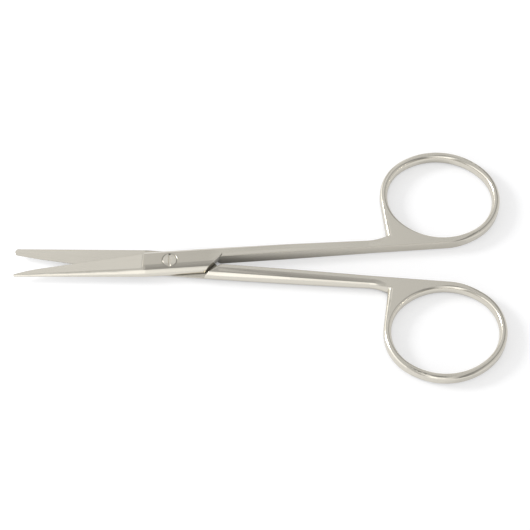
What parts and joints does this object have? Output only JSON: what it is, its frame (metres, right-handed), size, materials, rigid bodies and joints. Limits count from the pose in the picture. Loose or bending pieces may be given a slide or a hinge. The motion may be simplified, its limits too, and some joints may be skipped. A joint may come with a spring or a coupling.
{
  "type": "knapp scissors",
  "caption": "Straight surgical scissors with a sharp and a blunt tip, lap-jointed halves on a slotted pivot screw and oval finger rings.",
  "frame": {"origin": "on the screw's axis, in the flat of the underside that the closed joint rests on", "axes": "+Z along the screw axis, out of its slotted head; +X towards the finger rings, along the line halfway between the two halves; -X towards the tips; +Y towards the ring of the sharp half"},
  "size_m": [0.1149, 0.0604, 0.0038],
  "materials": {
    "satin_steel": "satin, ground and belt polished",
    "screw_steel": "turned, ground flush with the joint"
  },
  "bodies": {
    "lower": {"blunt_half": "satin_steel", "pivot_screw": "screw_steel"},
    "upper": {"sharp_half": "satin_steel"}
  },
  "joints": [
    {"name": "pivot", "type": "hinge", "parent": "lower", "child": "upper", "pos_m": [0, 0, 0.0019], "axis": [0, 0, 1], "range_deg": [-9, 81]}
  ]
}
